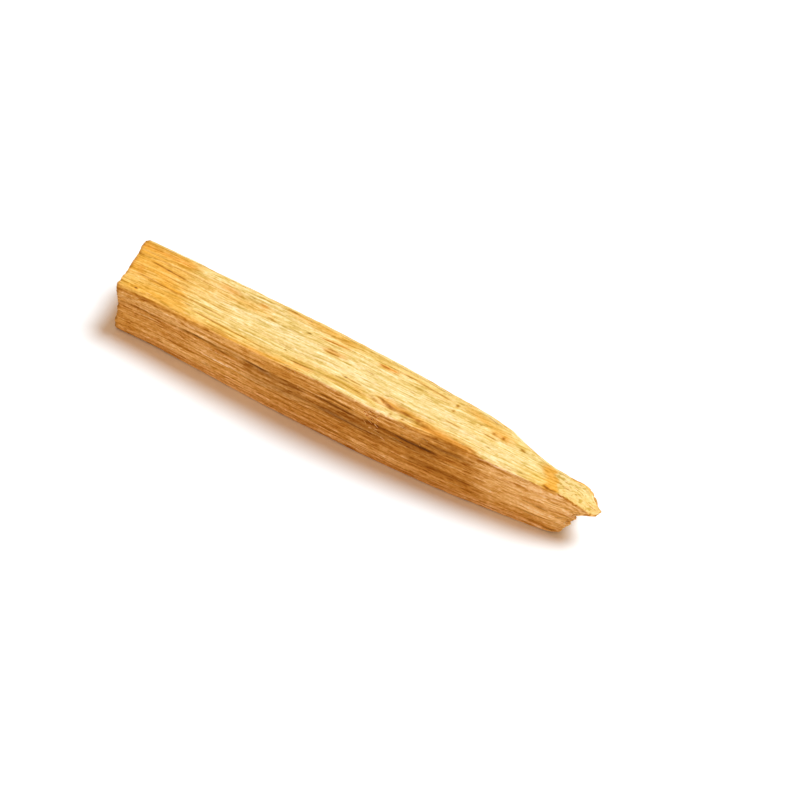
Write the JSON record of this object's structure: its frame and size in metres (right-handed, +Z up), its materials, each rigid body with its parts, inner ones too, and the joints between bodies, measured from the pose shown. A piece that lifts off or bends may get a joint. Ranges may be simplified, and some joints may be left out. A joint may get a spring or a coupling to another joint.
{
  "type": "palo santo stick",
  "caption": "Split stick of aromatic wood, nearly square at its sawn end and narrowing to a torn, sloping tip.",
  "frame": {"origin": "the middle of the underside of the stick's bounding box", "axes": "+X runs along the stick from its sawn end to its torn tip, +Z is up from the underside it lies on, and -Y is the side with the tall split face"},
  "size_m": [0.1068, 0.017, 0.0138],
  "materials": {
    "wood": "dry split wood, matte, with open lengthwise grain"
  },
  "bodies": {
    "root": {"stick": "wood"}
  },
  "joints": []
}
